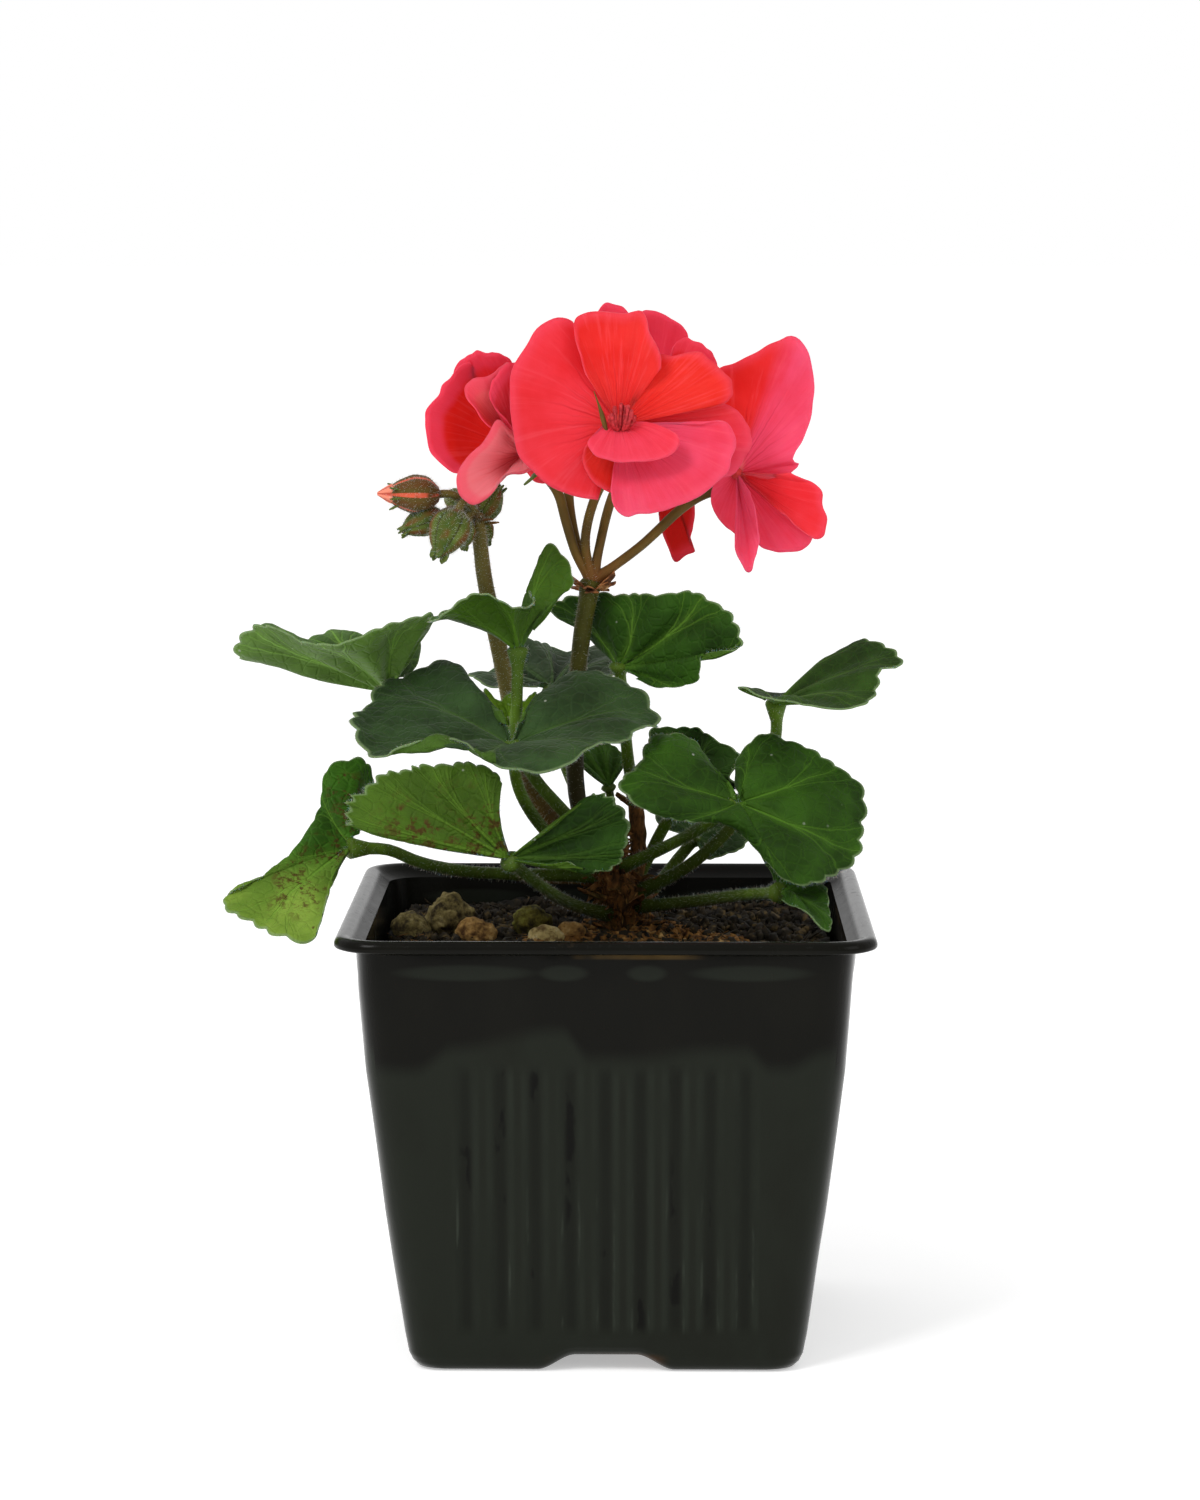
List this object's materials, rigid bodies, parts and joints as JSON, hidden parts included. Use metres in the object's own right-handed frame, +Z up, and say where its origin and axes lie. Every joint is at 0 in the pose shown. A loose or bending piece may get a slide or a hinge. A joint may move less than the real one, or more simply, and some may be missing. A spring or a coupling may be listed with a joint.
{
  "type": "potted geranium",
  "caption": "Zonal geranium with round crenate leaves, a head of coral red florets and closed buds, growing in soil in a square fluted nursery pot.",
  "frame": {"origin": "middle of the pot's foot, in the plane it stands on", "axes": "+Z up out of the pot, +X to the right and +Y to the back, both along the pot's sides"},
  "size_m": [0.1364, 0.105, 0.2082],
  "materials": {
    "pot": "smooth black nursery plastic with fine dust",
    "soil": "dark damp peat",
    "bark_lump": "rough grey-brown lump",
    "red_lump": "rough orange-brown lump",
    "pale_lump": "rough pale brown lump",
    "crown": "fibrous brown stem",
    "dark_leaf": "velvety dark green leaf",
    "green_leaf": "velvety green leaf",
    "light_leaf": "yellow-green leaf",
    "bud_shoot": "hairy brown-green shoot",
    "bud_petals": "folded coral petals",
    "flower_stalk": "hairy brown-green stalk",
    "petal": "soft coral red petal",
    "stamens": "dark red stamens"
  },
  "bodies": {
    "root": {"pot": "pot", "soil": "soil", "stone_1": "bark_lump", "stone_2": "bark_lump", "stone_3": "red_lump", "stone_4": "bark_lump", "stone_5": "pale_lump", "stone_6": "red_lump", "crown": "crown", "leaf_front": "dark_leaf", "leaf_far_left": "green_leaf", "leaf_upper": "green_leaf", "leaf_low_left": "green_leaf", "leaf_drooping": "light_leaf", "leaf_upper_right": "dark_leaf", "leaf_far_right": "dark_leaf", "leaf_right": "green_leaf", "leaf_low_right": "green_leaf", "leaf_behind_right": "dark_leaf", "leaf_back": "dark_leaf", "leaf_back_low": "dark_leaf", "leaf_young": "light_leaf", "leaf_small": "green_leaf", "bud_shoot": "bud_shoot", "bud_petals": "bud_petals", "flower_stalk": "flower_stalk", "floret_front": "petal", "floret_left": "petal", "floret_right": "petal", "floret_back_left": "petal", "floret_back_right": "petal", "floret_front_stamens": "stamens"}
  },
  "joints": []
}
